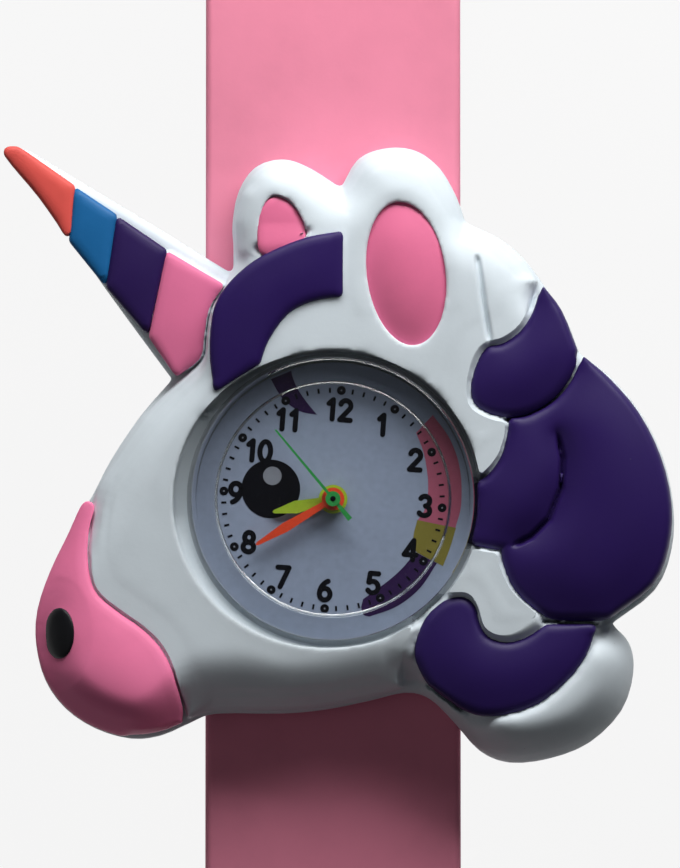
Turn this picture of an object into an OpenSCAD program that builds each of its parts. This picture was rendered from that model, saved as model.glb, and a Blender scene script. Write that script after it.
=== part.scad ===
// Child's slap-band watch with a unicorn head that holds a round quartz core.
// The watch lies dial up: +X is the wearer's right of the dial, +Y runs along the band past
// the ears, +Z leaves the dial. The origin is on the band's underside, below the dial centre.

/* [Band] */
// Width of the slap band
band_w = 25; // [22:0.5:28]
// Thickness of the slap band
band_t = 2.4; // [2:0.1:3.2]
// Length of the whole band laid straight
band_l = 212; // [190:1:230]
// Length of the stiff middle of the band, below the head
band_middle_l = 36; // [30:1:44]
// Corner radius of the band's two ends
band_end_r = 7; // [3:0.5:10]
// Rounding of the band's long edges
band_edge_r = 0.7; // [0.3:0.1:0.9]
// Width of the spring steel strip inside the band
strip_w = 19; // [15:0.5:21]
// Thickness of the spring steel strip
strip_t = 0.3; // [0.2:0.05:0.4]
// Silicone left beyond each end of the strip
strip_end = 7; // [4:0.5:10]

/* [Head] */
// Width of the head from the horn's tip to the mane
head_w = 65.2; // [62:0.2:70]
// Depth of the seat for the band in the back of the head
band_seat = 0.8; // [0.4:0.1:1.2]
// Silicone floor between the band and the watch core
pocket_floor = 1.2; // [0.8:0.1:2]
// Height of the white base layer above the back of the head
base_h = 5.8; // [5:0.1:6.2]
// Height of the face above the base layer
face_h = 3.6; // [3.2:0.1:4.4]
// Rounding along the face's upper edge
face_round = 2.2; // [1:0.1:2.4]
// Rounding along the base layer's edges
base_round = 1.1; // [0.6:0.1:1.2]
// Height of the horn's coloured bands above the base layer
horn_h = 2; // [1.5:0.1:2.6]
// Height of the mane's locks above the base layer
mane_h = 3.2; // [2.6:0.1:3.8]
// Height of the muzzle above the base layer
muzzle_h = 3.4; // [3:0.1:4]
// How far the forelock stands out of the face
forelock_rise = 0.5; // [0.3:0.1:0.8]
// How deep the forelock is let into the face
forelock_set = 1.6; // [1:0.1:2]
// How far the ear linings lie below the face
lining_drop = 1.3; // [0.6:0.1:1.5]
// Thickness of the ear linings
lining_t = 1.2; // [0.8:0.1:1.5]
// Rounding along the coloured pads' upper edges
pad_round = 0.7; // [0.4:0.1:0.8]
// Thickness of the puffed rim round each ear lining
ear_rim_r = 1.5; // [1.1:0.1:1.8]
// Depth of the nostril's pocket
nostril_t = 1.2; // [0.8:0.1:1.6]
// How far the nostril lies below the muzzle's surface
nostril_drop = 0.3; // [0.1:0.1:0.6]
// Gap between a coloured pad and the white beside it
pad_gap = 0.12; // [0.06:0.02:0.2]

/* [Watch core] */
// Diameter of the core's flange
flange_d = 28.4; // [27.6:0.2:29]
// Diameter of the case below the flange
case_d = 23.2; // [23:0.1:23.6]
// Height of the case below the flange
case_h = 4.2; // [4.1:0.05:4.3]
// Thickness of the flange
flange_t = 1.05; // [1:0.05:1.2]
// Wall of the case below the flange
case_wall = 1.1; // [0.9:0.05:1.15]
// Diameter of the crystal
crystal_d = 27.4; // [27:0.1:27.5]
// Height of the crystal above the flange
crystal_h = 3.75; // [3.5:0.05:4.4]
// Thickness of the crystal's window
crystal_top = 1.3; // [0.8:0.1:1.4]
// Edge break round the crystal's top
crystal_edge = 0.5; // [0.3:0.1:0.7]
// Diameter inside the crystal's wall
crystal_bore_d = 22.8; // [22.4:0.1:23]
// Diameter of the dial, which reaches below the crystal's wall
dial_d = 26.4; // [25.8:0.1:26.6]
// Thickness of the dial
dial_t = 0.4; // [0.3:0.05:0.4]
// How far the core sits turned in its pocket, clockwise
core_turn = 4.4; // [0:0.1:8]
// Clearance between the core and its pocket
pocket_clear = 0.2; // [0.15:0.01:0.3]

/* [Hands] */
// Length of the hour hand
hour_l = 6; // [5:0.1:7]
// Length of the minute hand
minute_l = 8.7; // [7.5:0.1:9.6]
// Length of the second hand
second_l = 8.7; // [7.5:0.1:9.6]
// Length of the second hand's tail
second_tail_l = 2.6; // [2:0.1:3.5]
// Thickness of the hour and minute hands
hand_t = 0.25; // [0.15:0.01:0.3]
// Direction of the hour hand, clockwise from the top of the head
hour_turn = 258; // [0:1:360]
// Direction of the minute hand, clockwise from the top of the head
minute_turn = 239.3; // [0:0.1:360]
// Direction of the second hand, clockwise from the top of the head
second_turn = 320.2; // [0:0.1:360]

/* [Movement] */
// Diameter of the movement's main plate
plate_d = 20.6; // [20:0.1:20.7]
// Thickness of the main plate
plate_t = 0.5; // [0.4:0.05:0.5]
// Thickness of the train wheels
wheel_t = 0.3; // [0.2:0.05:0.3]
// Diameter of the button cell
cell_d = 6.8; // [6.4:0.1:6.8]
// Thickness of the button cell
cell_t = 2.1; // [1.6:0.1:2.1]
// Diameter of the crown
crown_d = 2.6; // [2.2:0.1:2.8]
// Length of the crown
crown_l = 1.4; // [1:0.1:1.4]
// Travel of the crown when it is pulled to set the hands
crown_pull = 0.7; // [0.5:0.05:0.7]
// Diameter of the setting stem
stem_d = 0.9; // [0.7:0.05:0.9]

/* [Hidden] */
links = 6;
link_names = [for (side = ["upper", "lower"]) for (i = [1:links]) str("band_", side, "_", i)];

// Shared small sizes
overrun = 0.5;
shaft_clear = 0.04;
press_clear = 0.01;
layer_gap = 0.15;
fine = 96;
coarse = 32;
curve_steps = 3;

// The outlines are drawn on a picture grid, with x to the right and y down.
head_px = 670;
dial_px = [333, 500];
grid = head_w / head_px;

// Each outline point is [x, y], or [x, y, 1] at a sharp corner.
silhouette_px = [
    [4, 151], [13, 146], [30, 150], [75, 177], [150, 222], [233, 273, 1],
    [233, 245], [232, 222], [238, 190], [255, 165], [283, 157], [310, 166], [341, 186, 1],
    [358, 157], [385, 146], [415, 148], [440, 166], [457, 195], [466, 221, 1],
    [500, 237], [525, 258], [549, 290], [566, 316], [580, 352, 1],
    [610, 375], [640, 410], [663, 455], [674, 505], [672, 550], [655, 590], [612, 623, 1],
    [630, 643], [634, 672], [622, 710], [590, 742], [550, 758], [510, 762], [480, 750],
    [455, 722], [430, 698], [405, 692], [370, 700], [325, 709], [280, 713], [215, 713],
    [190, 722], [160, 735], [130, 738], [95, 728], [65, 708], [45, 680], [36, 645],
    [37, 610], [50, 570], [70, 530], [92, 495], [110, 460], [140, 415], [172, 378, 1],
    [140, 335], [100, 280], [60, 222], [20, 172]];
face_px = [
    [97, 488], [91, 520], [89, 550], [93, 577], [102, 595], [125, 613], [145, 627],
    [163, 645], [176, 672], [188, 719, 1], [215, 710], [280, 710], [325, 706], [370, 697],
    [403, 688, 1], [402, 655], [410, 630], [424, 608], [445, 595], [468, 594], [478, 610],
    [484, 628], [500, 636], [518, 631], [536, 615, 1], [511, 592], [499, 568], [496, 554, 1],
    [480, 552], [463, 545, 1], [469, 520], [471, 480, 1], [482, 474], [496, 458], [503, 440],
    [505, 424, 1], [488, 420], [469, 408], [466, 385], [473, 357], [485, 343], [499, 340],
    [516, 329], [528, 310], [538, 281, 1], [524, 260], [500, 239], [465, 223, 1],
    [455, 196], [438, 168], [414, 150], [385, 148], [359, 160], [341, 189, 1],
    [310, 169], [283, 160], [257, 168], [241, 191], [235, 223], [236, 262, 1],
    [224, 288], [211, 310], [206, 340], [203, 360], [178, 382, 1], [143, 418], [113, 462]];
forelock_px = [
    [341, 236, 1], [310, 241], [280, 252], [255, 265], [232, 285], [217, 308], [212, 335],
    [212, 363], [216, 392, 1], [259, 366, 1], [268, 342], [287, 316], [312, 303],
    [341, 298, 1]];
horn_tip_px = [[6, 152], [13, 149], [24, 153], [73, 187, 1], [68, 236, 1], [40, 196], [14, 165]];
horn_upper_px = [[76, 190, 1], [115, 216, 1], [105, 283, 1], [71, 241, 1]];
horn_lower_px = [[118, 219, 1], [165, 251, 1], [147, 332, 1], [108, 287, 1]];
horn_base_px = [
    [168, 254, 1], [221, 286, 1], [207, 309], [202, 338], [198, 358], [177, 374, 1],
    [151, 337, 1]];
left_lining_px = [
    [265, 241], [261, 225], [265, 207], [275, 197], [289, 203], [299, 217], [303, 231], [286, 238]];
mane_top_px = [
    [505, 415], [489, 412], [474, 402], [471, 384], [478, 361], [487, 348], [501, 345],
    [520, 332], [533, 312], [541, 285, 1], [560, 310], [576, 350, 1], [568, 374], [549, 398],
    [525, 412]];
mane_main_px = [
    [583, 357, 1], [609, 379], [638, 413], [660, 457], [671, 505], [668, 548], [652, 586],
    [609, 619, 1], [560, 619], [540, 612], [516, 590], [505, 566], [502, 549, 1],
    [486, 547], [468, 541, 1], [474, 520], [475, 485, 1], [487, 479], [501, 461], [508, 440],
    [511, 422, 1], [530, 418], [555, 404], [574, 381]];
mane_groove_px = [[556, 432], [562, 460], [560, 490], [548, 520], [530, 538], [510, 548]];
mane_lower_px = [
    [458, 599], [440, 603], [422, 620], [412, 648], [416, 668], [432, 691], [458, 707],
    [478, 714], [503, 712], [532, 702], [560, 680], [579, 655], [589, 627, 1], [543, 626, 1],
    [520, 640], [500, 644], [482, 638], [473, 624], [469, 608]];
muzzle_px = [
    [91, 508], [87, 525], [85, 550], [88, 578], [97, 598], [120, 617], [140, 631],
    [158, 649], [171, 674], [183, 722, 1], [160, 731], [130, 734], [96, 724], [68, 705],
    [49, 678], [40, 645], [41, 611], [54, 572], [72, 535], [85, 508]];
right_lining_px = [406, 275];
right_lining_radii_px = [38, 71];
right_lining_lean = 7.4;
nostril_px = [58, 634];
nostril_radii_px = [13.5, 24];
left_rim_px = [[252, 248], [250, 222], [256, 200], [273, 184], [295, 188], [313, 206]];
right_rim_turns = [for (a = [-25:25:205]) a];
rim_gap_px = 15;

// Heights above the band's underside
head_back_z = band_t - band_seat;
pocket_z = band_t + pocket_floor;
base_z = head_back_z + base_h;
face_z = base_z + face_h;
seat_z = pocket_z + case_h;
flange_r = flange_d / 2;
case_r = case_d / 2;
case_bore_r = case_r - case_wall;
pocket_r = flange_r + pocket_clear;

// Heights inside the core, above its own back
back_t = 0.5;
gasket_t = 0.2;
bridge_z = 1;
bridge_t = 0.4;
layer_z = [for (i = [0:3]) bridge_z + bridge_t + layer_gap / 2 + i * (wheel_t + layer_gap)];
plate_z = layer_z[3] + wheel_t + layer_gap;
motion_z = [for (i = [0:1]) plate_z + plate_t + layer_gap + i * (wheel_t + layer_gap)];
dial_z = case_h + flange_t - dial_t;
hand_gap = 0.35;
hour_z = dial_z + dial_t + hand_gap;
minute_z = hour_z + hand_t + hand_gap;
second_z = minute_z + hand_t + hand_gap;
stem_z = 2.4;

// Arbors: the second hand's shaft runs in the cannon pinion, which runs in the hour tube
second_shaft_r = 0.15;
cannon_bore_r = second_shaft_r + shaft_clear;
cannon_r = 0.45;
hour_bore_r = cannon_r + shaft_clear;
hour_tube_r = 0.75;
dial_hole_r = 1;
arbor_r = 0.18;
pivot_r = 0.12;
centre_hole_r = 0.62;

// Wheel train: tooth counts, tooth sizes and places in the core
rotor_teeth = 8;
intermediate_teeth = 48;
intermediate_leaves = 9;
seconds_teeth = 45;
seconds_leaves = 8;
third_teeth = 60;
third_leaves = 8;
centre_teeth = 64;
cannon_teeth = 12;
minute_teeth = 36;
minute_leaves = 10;
hour_teeth = 40;
rotor_module = 0.08;
intermediate_module = 0.12;
third_module = 0.09;
third_l = third_module * (seconds_leaves + third_teeth) / 2;
centre_module = 2 * third_l / (third_leaves + centre_teeth);
cannon_module = 0.1;
motion_l = cannon_module * (cannon_teeth + minute_teeth) / 2;
hour_module = 2 * motion_l / (minute_leaves + hour_teeth);
intermediate_l = intermediate_module * (intermediate_leaves + seconds_teeth) / 2;
rotor_l = rotor_module * (rotor_teeth + intermediate_teeth) / 2;
third_turn = 60;
intermediate_turn = 150;
rotor_side_turn = 205;
minute_side_turn = -70;
function polar(l, a) = [l * cos(a), l * sin(a)];
third_at = polar(third_l, third_turn);
intermediate_at = polar(intermediate_l, intermediate_turn);
rotor_at = intermediate_at + polar(rotor_l, rotor_side_turn);
minute_at = polar(motion_l, minute_side_turn);
tooth_root_share = 0.36;
tooth_tip_share = 0.12;
addendum_share = 0.9;
dedendum_share = 1.2;

// Other pieces of the movement
pillar_places = [[3, -2], [-1.6, 5.4], [-3.2, -2.6]];
pillar_r = 0.45;
screw_r = 0.25;
screw_head_r = 0.4;
screw_head_t = 0.2;
bridge_rim = 0.75;
magnet_r = 0.7;
stator_hole_r = 0.95;
stator_t = 0.4;
stator_box = [[-6, -4.4], [-3.8, 5.2]];
stator_lug = 1.1;
coil_x = -7.6;
coil_r = 0.95;
coil_l = 6.6;
coil_core_r = 0.4;
coil_mid_y = 0.4;
cell_at = [0, -6.2];
clip_t = 0.2;
clip_w = 2.4;
clip_l = 6;
board_box = [[4.9, 1.7], [8.4, 5.2]];
board_t = 0.4;
board_chip_share = 0.4;
can_r = 0.75;
can_from = [4.6, -3];
can_l = 4.2;
lever_x = 7;
lever_t = 0.5;
lever_l = 1.5;
groove_r = 0.28;
stem_in_x = 4.2;
crown_gap = 0.3;
crown_ribs = 18;
crown_rib_share = 0.07;
dial_foot_r = 0.35;
dial_foot_places = [[-8.2, -3.6], [8.2, 3.6]];
dial_foot_l = dial_z - plate_z - plate_t + layer_gap;
back_rim_w = 0.5;
notch_w = crown_d + 2 * pocket_clear;
notch_reach = case_r + crown_gap + crown_l + crown_pull + 2 * pocket_clear;
hour_hub_r = 1.4;
hour_w = 1.25;
minute_hub_r = 1.1;
minute_w = 0.95;
second_hub_r = 0.73;
second_w = 0.3;
second_tail_w = 0.5;
second_cap_t = 0.35;
tip_r = 0.16;
hand_belly_share = 0.62;
groove_w = 0.4;
groove_d = 0.6;

// Points on a smooth closed curve through the given points, with sharp ones kept sharp.
function flat(p) = [p[0], p[1]];
function tangent(p, i, side, n) =
    let (a = flat(p[(i + n - 1) % n]), b = flat(p[i % n]), c = flat(p[(i + 1) % n]))
    len(p[i % n]) > 2 ? (side > 0 ? c - b : b - a) : (c - a) / 2;
function hermite(b, c, u, v, t) =
    (2 * t ^ 3 - 3 * t ^ 2 + 1) * b + (t ^ 3 - 2 * t ^ 2 + t) * u
    + (3 * t ^ 2 - 2 * t ^ 3) * c + (t ^ 3 - t ^ 2) * v;
function is_straight(p, i) = len(p[i]) > 2 && len(p[(i + 1) % len(p)]) > 2;
function smooth(p) =
    let (n = len(p))
    [for (i = [0:n - 1]) for (k = [0:is_straight(p, i) ? 0 : curve_steps - 1])
        hermite(flat(p[i]), flat(p[(i + 1) % n]), tangent(p, i, 1, n), tangent(p, i + 1, -1, n),
                k / curve_steps)];
function on_head(p) = [(p[0] - dial_px[0]) * grid, (dial_px[1] - p[1]) * grid];
function turning(p) = let (n = len(p))
    [for (i = [0:n - 1]) cross(p[i], p[(i + 1) % n])] * [for (i = [0:n - 1]) 1];
function anticlockwise(p) =
    turning(p) > 0 ? p : [for (i = [len(p) - 1:-1:0]) p[i]];
function outline(px) = anticlockwise([for (p = smooth(px)) on_head(p)]);
function ellipse_px(at, radii, lean) =
    [for (i = [0:coarse - 1]) let (a = 360 * i / coarse, x = radii[0] * cos(a), y = radii[1] * sin(a))
        [at[0] + x * cos(lean) - y * sin(lean), at[1] + x * sin(lean) + y * cos(lean)]];
function ring_on_head(px) = anticlockwise([for (p = px) on_head(p)]);

// The outline drawn in by a distance, along the half-way direction at each point, and by less
// where the outline is narrow, so that it never folds over itself.
narrow_share = 0.7;
function unit(v) = v / norm(v);
function room(p, i, m) = min([for (q = p) let (w = q - p[i], h = w * m) if (h > 0) w * w / (2 * h)]);
function drawn_in(p, d, round) = let (n = len(p))
    [for (i = [0:n - 1])
        let (e = unit(p[i] - p[(i + n - 1) % n]), f = unit(p[(i + 1) % n] - p[i]),
             u = [-e[1], e[0]], v = [-f[1], f[0]], m = unit(u + v),
             l = min(round / max(m * u, cos(60)), narrow_share * room(p, i, m)))
        p[i] + m * l * d / round];

// The triangles that fill a flat outline: the corner with the shortest cut goes first, where no
// hollow corner lies in the way.
function corner(s, k) = let (n = len(s)) [s[(k + n - 1) % n], s[k], s[(k + 1) % n]];
function bend(p, t) = cross(p[t[1]] - p[t[0]], p[t[2]] - p[t[1]]);
function holds(p, t, j) = bend(p, [t[0], t[1], j]) >= 0 && bend(p, [t[1], t[2], j]) >= 0
    && bend(p, [t[2], t[0], j]) >= 0;
function is_free(p, t, hollow) = bend(p, t) > 0
    && len([for (j = hollow) if (j != t[0] && j != t[2] && holds(p, t, j)) j]) == 0;
function filled(p, s, cut) = len(s) < 4 ? concat(cut, [s]) :
    let (n = len(s),
         hollow = [for (k = [0:n - 1]) if (bend(p, corner(s, k)) <= 0) s[k]],
         free = [for (k = [0:n - 1]) let (t = corner(s, k))
             if (is_free(p, t, hollow)) [norm(p[t[2]] - p[t[0]]), k]],
         least = min([for (f = free) f[0]]),
         best = [for (f = free) if (f[0] == least) f[1]][0])
    filled(p, [for (k = [0:n - 1]) if (k != best) s[k]], concat(cut, [corner(s, best)]));

// A pad with upright sides and a rounded upper edge.
round_turns = [0, 30, 60, 90];
module pad(p, low, high, round, low_round) {
    n = len(p);
    levels = concat(
        low_round > 0 ? [[low_round, low], [0, low + low_round]] : [[0, low]],
        [for (a = round_turns) [round * (1 - cos(a)), high - round + round * sin(a)]]);
    flat = [for (v = levels) drawn_in(p, v[0], round)];
    m = len(levels);
    rings = [for (k = [0:m - 1]) for (c = flat[k]) [c[0], c[1], levels[k][1]]];
    order = [for (i = [0:n - 1]) i];
    top = (m - 1) * n;
    sides = [for (k = [0:m - 2]) for (i = [0:n - 1]) let (j = (i + 1) % n)
        each [[k * n + i, (k + 1) * n + i, (k + 1) * n + j], [k * n + i, (k + 1) * n + j, k * n + j]]];
    lid = [for (t = filled(flat[m - 1], order, [])) [top + t[2], top + t[1], top + t[0]]];
    polyhedron(rings, concat(filled(flat[0], order, []), sides, lid));
}
module ring(outer_r, inner_r, h) {
    difference() {
        cylinder(r = outer_r, h = h, $fn = fine);
        translate([0, 0, -overrun]) cylinder(r = inner_r, h = h + 2 * overrun, $fn = fine);
    }
}
module core_bore() {
    translate([0, 0, seat_z]) cylinder(r = pocket_r, h = face_z, $fn = fine);
}
module pocket(p, floor_z) {
    translate([0, 0, floor_z]) linear_extrude(face_z) offset(delta = pad_gap) polygon(p);
}

// Head
forelock_line = outline(forelock_px);
left_lining_line = outline(left_lining_px);
right_lining_line = ring_on_head(ellipse_px(right_lining_px, right_lining_radii_px, -right_lining_lean));
nostril_line = ring_on_head(ellipse_px(nostril_px, nostril_radii_px, 0));
forelock_floor = face_z - forelock_set;
lining_floor = face_z - lining_drop - lining_t;
module ear_rim(path) {
    for (i = [0:len(path) - 2]) hull() {
        for (p = [path[i], path[i + 1]])
            translate([p[0], p[1], face_z - ear_rim_r + pad_gap]) sphere(r = ear_rim_r, $fn = coarse / 2);
    }
}
module head_body() {
    left_rim = [for (p = left_rim_px) on_head(p)];
    rim_radii = [right_lining_radii_px[0] + rim_gap_px, right_lining_radii_px[1] + rim_gap_px];
    right_rim = [for (a = right_rim_turns)
        let (x = rim_radii[0] * cos(a), y = -rim_radii[1] * sin(a))
        on_head([right_lining_px[0] + x * cos(-right_lining_lean) - y * sin(-right_lining_lean),
                 right_lining_px[1] + x * sin(-right_lining_lean) + y * cos(-right_lining_lean)])];
    color("white") difference() {
        union() {
            pad(outline(silhouette_px), head_back_z, base_z, base_round, base_round);
            pad(outline(face_px), base_z - face_round, face_z, face_round, 0);
            ear_rim(left_rim);
            ear_rim(right_rim);
        }
        pocket(forelock_line, forelock_floor);
        pocket(left_lining_line, lining_floor);
        pocket(right_lining_line, lining_floor);
        core_bore();
        translate([0, 0, pocket_z])
            cylinder(r = case_r + pocket_clear, h = face_z, $fn = fine);
        rotate(-core_turn) translate([0, -notch_w / 2, pocket_z])
            cube([notch_reach, notch_w, case_h + overrun]);
        translate([-band_w / 2 - pad_gap, -band_l / 2, head_back_z - overrun])
            cube([band_w + 2 * pad_gap, band_l, band_seat + overrun]);
    }
}
module base_pad(px, h) { pad(outline(px), base_z, base_z + h, pad_round, 0); }
module lock(px) {
    difference() {
        base_pad(px, mane_h);
        core_bore();
    }
}
module horn_tip() { color("tomato") base_pad(horn_tip_px, horn_h); }
module horn_upper() { color("steelblue") base_pad(horn_upper_px, horn_h); }
module horn_lower() { color("indigo") base_pad(horn_lower_px, horn_h); }
module horn_base() { color("lightpink") base_pad(horn_base_px, horn_h); }
module mane_top() { color("indigo") lock(mane_top_px); }
module mane_lower() { color("indigo") lock(mane_lower_px); }
module mane_main() {
    px = mane_groove_px;
    steps = len(px) - 1;
    line = [for (p = px) on_head(p)];
    side = [for (i = [0:steps])
        let (d = unit(line[min(i + 1, steps)] - line[max(i - 1, 0)])) [-d[1], d[0]] * groove_w / 2];
    band = concat([for (i = [0:steps]) line[i] + side[i]], [for (i = [steps:-1:0]) line[i] - side[i]]);
    color("indigo") difference() {
        lock(mane_main_px);
        translate([0, 0, base_z + mane_h - groove_d]) linear_extrude(mane_h) polygon(band);
    }
}
module forelock() {
    color("indigo") difference() {
        pad(forelock_line, forelock_floor, face_z + forelock_rise, pad_round, 0);
        core_bore();
    }
}
module lining(p) { color("palevioletred") pad(p, lining_floor, lining_floor + lining_t, pad_round / 2, 0); }
module left_ear_lining() { lining(left_lining_line); }
module right_ear_lining() { lining(right_lining_line); }
module muzzle() {
    color("hotpink") difference() {
        base_pad(muzzle_px, muzzle_h);
        translate([0, 0, base_z + muzzle_h - nostril_t])
            linear_extrude(muzzle_h) offset(delta = pad_gap) polygon(nostril_line);
    }
}
module nostril() {
    color("black") pad(nostril_line, base_z + muzzle_h - nostril_t, base_z + muzzle_h - nostril_drop,
                       pad_round / 2, 0);
}

// Band
free_l = (band_l - band_middle_l) / 2;
link_l = free_l / links;
strip_z = (band_t - strip_t) / 2;
strip_l = band_l - 2 * strip_end;
strip_clear = 0.05;
module band_profile() {
    difference() {
        translate([0, band_t / 2]) offset(r = band_edge_r, $fn = coarse)
            square([band_w - 2 * band_edge_r, band_t - 2 * band_edge_r], center = true);
        translate([0, band_t / 2])
            square([strip_w + 2 * strip_clear, strip_t + 2 * strip_clear], center = true);
    }
}
module sleeve(from_y, to_y) {
    color("pink") translate([0, to_y, 0]) rotate([90, 0, 0]) linear_extrude(to_y - from_y) band_profile();
}
module end_sleeve(from_y, to_y) {
    solid_y = strip_l / 2 + strip_clear;
    color("pink") intersection() {
        union() {
            sleeve(from_y, solid_y);
            translate([0, to_y, 0]) rotate([90, 0, 0]) linear_extrude(to_y - solid_y)
                translate([0, band_t / 2]) offset(r = band_edge_r, $fn = coarse)
                    square([band_w - 2 * band_edge_r, band_t - 2 * band_edge_r], center = true);
        }
        translate([0, 0, -overrun]) linear_extrude(band_t + 2 * overrun) union() {
            translate([-band_w, from_y]) square([2 * band_w, to_y - band_end_r - from_y]);
            translate([band_end_r - band_w / 2, from_y]) square([band_w - 2 * band_end_r, to_y - from_y]);
            for (s = [-1, 1]) translate([s * (band_w / 2 - band_end_r), to_y - band_end_r])
                circle(r = band_end_r, $fn = fine);
        }
    }
}
module link(i) {
    from_y = band_middle_l / 2 + (i - 1) * link_l;
    if (i < links) sleeve(from_y, from_y + link_l);
    else end_sleeve(from_y, from_y + link_l);
}
module band_middle() { sleeve(-band_middle_l / 2, band_middle_l / 2); }
module spring_strip() {
    color("lightgray") translate([-strip_w / 2, -strip_l / 2, strip_z]) cube([strip_w, strip_l, strip_t]);
}

// Core
module in_core() { translate([0, 0, pocket_z]) rotate(-core_turn) children(); }
module toward(a) { translate([0, 0, pocket_z]) rotate(90 - a) children(); }
dial_seat_r = dial_d / 2 + shaft_clear;
back_r = case_r - press_clear;
module core_case() {
    color("lightgray", 0.6) in_core() difference() {
        union() {
            translate([0, 0, back_t + gasket_t])
                cylinder(r = case_r, h = case_h - back_t - gasket_t, $fn = fine);
            translate([0, 0, case_h]) cylinder(r = flange_r, h = flange_t, $fn = fine);
        }
        translate([0, 0, -overrun]) cylinder(r = case_bore_r, h = 2 * case_h, $fn = fine);
        translate([0, 0, dial_z]) cylinder(r = dial_seat_r, h = case_h, $fn = fine);
        translate([0, 0, stem_z]) rotate([0, 90, 0])
            cylinder(r = stem_d / 2 + shaft_clear, h = flange_r, $fn = coarse);
    }
}
module crystal() {
    top = crystal_h - crystal_edge;
    r = crystal_d / 2;
    inner = crystal_bore_d / 2;
    color("lightcyan", 0.4) in_core() translate([0, 0, case_h + flange_t]) rotate_extrude($fn = fine)
        polygon([[inner, 0], [r, 0], [r, top], [r - crystal_edge, crystal_h], [0, crystal_h],
                 [0, crystal_h - crystal_top], [inner, crystal_h - crystal_top]]);
}
module dial() {
    color("white") in_core() {
        difference() {
            union() {
                translate([0, 0, dial_z]) cylinder(r = dial_d / 2, h = dial_t, $fn = fine);
                for (p = dial_foot_places) translate([p[0], p[1], dial_z - dial_foot_l])
                    cylinder(r = dial_foot_r, h = dial_foot_l + dial_t / 2, $fn = coarse);
            }
            translate([0, 0, dial_z - overrun])
                cylinder(r = dial_hole_r, h = 2 * overrun + dial_t, $fn = coarse);
        }
    }
}
// A hand with a hub at the origin, pointing along +X
module hand(l, w, hub_r, hole_r) {
    linear_extrude(hand_t) difference() {
        union() {
            circle(r = hub_r, $fn = coarse);
            polygon([[0, -w / 4], [l * hand_belly_share, -w / 2], [l - tip_r, -tip_r], [l, 0],
                     [l - tip_r, tip_r], [l * hand_belly_share, w / 2], [0, w / 4]]);
        }
        circle(r = hole_r, $fn = coarse);
    }
}
module hour_hand() {
    color("yellowgreen") toward(hour_turn) translate([0, 0, hour_z])
        hand(hour_l, hour_w, hour_hub_r, hour_tube_r + press_clear);
}
module minute_hand() {
    color("orangered") toward(minute_turn) translate([0, 0, minute_z])
        hand(minute_l, minute_w, minute_hub_r, cannon_r + press_clear);
}
module second_hand() {
    color("seagreen") toward(second_turn) translate([0, 0, second_z]) difference() {
        union() {
            linear_extrude(hand_t) polygon([
                [-second_tail_l, -second_tail_w / 2], [0, -second_w / 2], [second_l, -tip_r / 2],
                [second_l, tip_r / 2], [0, second_w / 2], [-second_tail_l, second_tail_w / 2]]);
            cylinder(r = second_hub_r, h = second_cap_t, $fn = coarse);
        }
        translate([0, 0, -overrun])
            cylinder(r = second_shaft_r + press_clear, h = overrun + second_cap_t / 2, $fn = coarse);
    }
}

// Movement
function tooth_polar(teeth, size, i) =
    let (r = teeth * size / 2, low = r - dedendum_share * size, high = r + addendum_share * size,
         step = 360 / teeth)
    [[low, -tooth_root_share], [high, -tooth_tip_share], [high, tooth_tip_share], [low, tooth_root_share]]
    * [[1, 0], [0, step]] + [for (k = [0:3]) [0, i * step]];
module gear(teeth, size, turn, hole_r) {
    linear_extrude(wheel_t) difference() {
        rotate(turn)
            polygon([for (i = [0:teeth - 1]) for (p = tooth_polar(teeth, size, i)) polar(p[0], p[1])]);
        circle(r = hole_r, $fn = coarse);
    }
}
// Turn of a wheel in mesh with another that lies the other way along a direction
function meshed(teeth, turn, direction, other) =
    direction + 180 + 180 / other - (turn - direction) * teeth / other;
seconds_turn = 0;
seconds_leaf_turn = 0;
third_wheel_turn = meshed(seconds_leaves, seconds_leaf_turn, third_turn, third_teeth);
centre_wheel_turn = meshed(third_leaves, 0, third_turn + 180, centre_teeth);
intermediate_leaf_turn = meshed(seconds_teeth, seconds_turn, intermediate_turn, intermediate_leaves);
rotor_leaf_turn = meshed(intermediate_teeth, 0, rotor_side_turn, rotor_teeth);
minute_wheel_turn = meshed(cannon_teeth, 0, minute_side_turn, minute_teeth);
hour_wheel_turn = meshed(minute_leaves, 0, minute_side_turn + 180, hour_teeth);
train_low = bridge_z + bridge_t / 2;
train_high = plate_z + plate_t / 2;
module arbor(low, high) {
    translate([0, 0, low]) cylinder(r = pivot_r, h = high - low, $fn = coarse);
    translate([0, 0, layer_z[0] - layer_gap / 4])
        cylinder(r = arbor_r, h = layer_z[3] + wheel_t - layer_z[0] + layer_gap / 2, $fn = coarse);
}
module rotor() {
    color("dimgray") in_core() translate(rotor_at) {
        arbor(train_low, train_high);
        translate([0, 0, layer_z[0]]) gear(rotor_teeth, rotor_module, rotor_leaf_turn, pivot_r);
        translate([0, 0, layer_z[1]]) ring(magnet_r, pivot_r, layer_z[2] + wheel_t - layer_z[1]);
    }
}
module intermediate_wheel() {
    color("ivory") in_core() translate(intermediate_at) {
        arbor(train_low, train_high);
        translate([0, 0, layer_z[0]]) gear(intermediate_teeth, rotor_module, 0, pivot_r);
        translate([0, 0, layer_z[1]])
            gear(intermediate_leaves, intermediate_module, intermediate_leaf_turn, pivot_r);
    }
}
module seconds_wheel() {
    color("ivory") in_core() {
        translate([0, 0, train_low])
            cylinder(r = second_shaft_r, h = second_z + second_cap_t / 2 - press_clear - train_low,
                     $fn = coarse);
        translate([0, 0, layer_z[1]]) gear(seconds_teeth, intermediate_module, seconds_turn, pivot_r);
        translate([0, 0, layer_z[2]]) gear(seconds_leaves, third_module, seconds_leaf_turn, pivot_r);
    }
}
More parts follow.
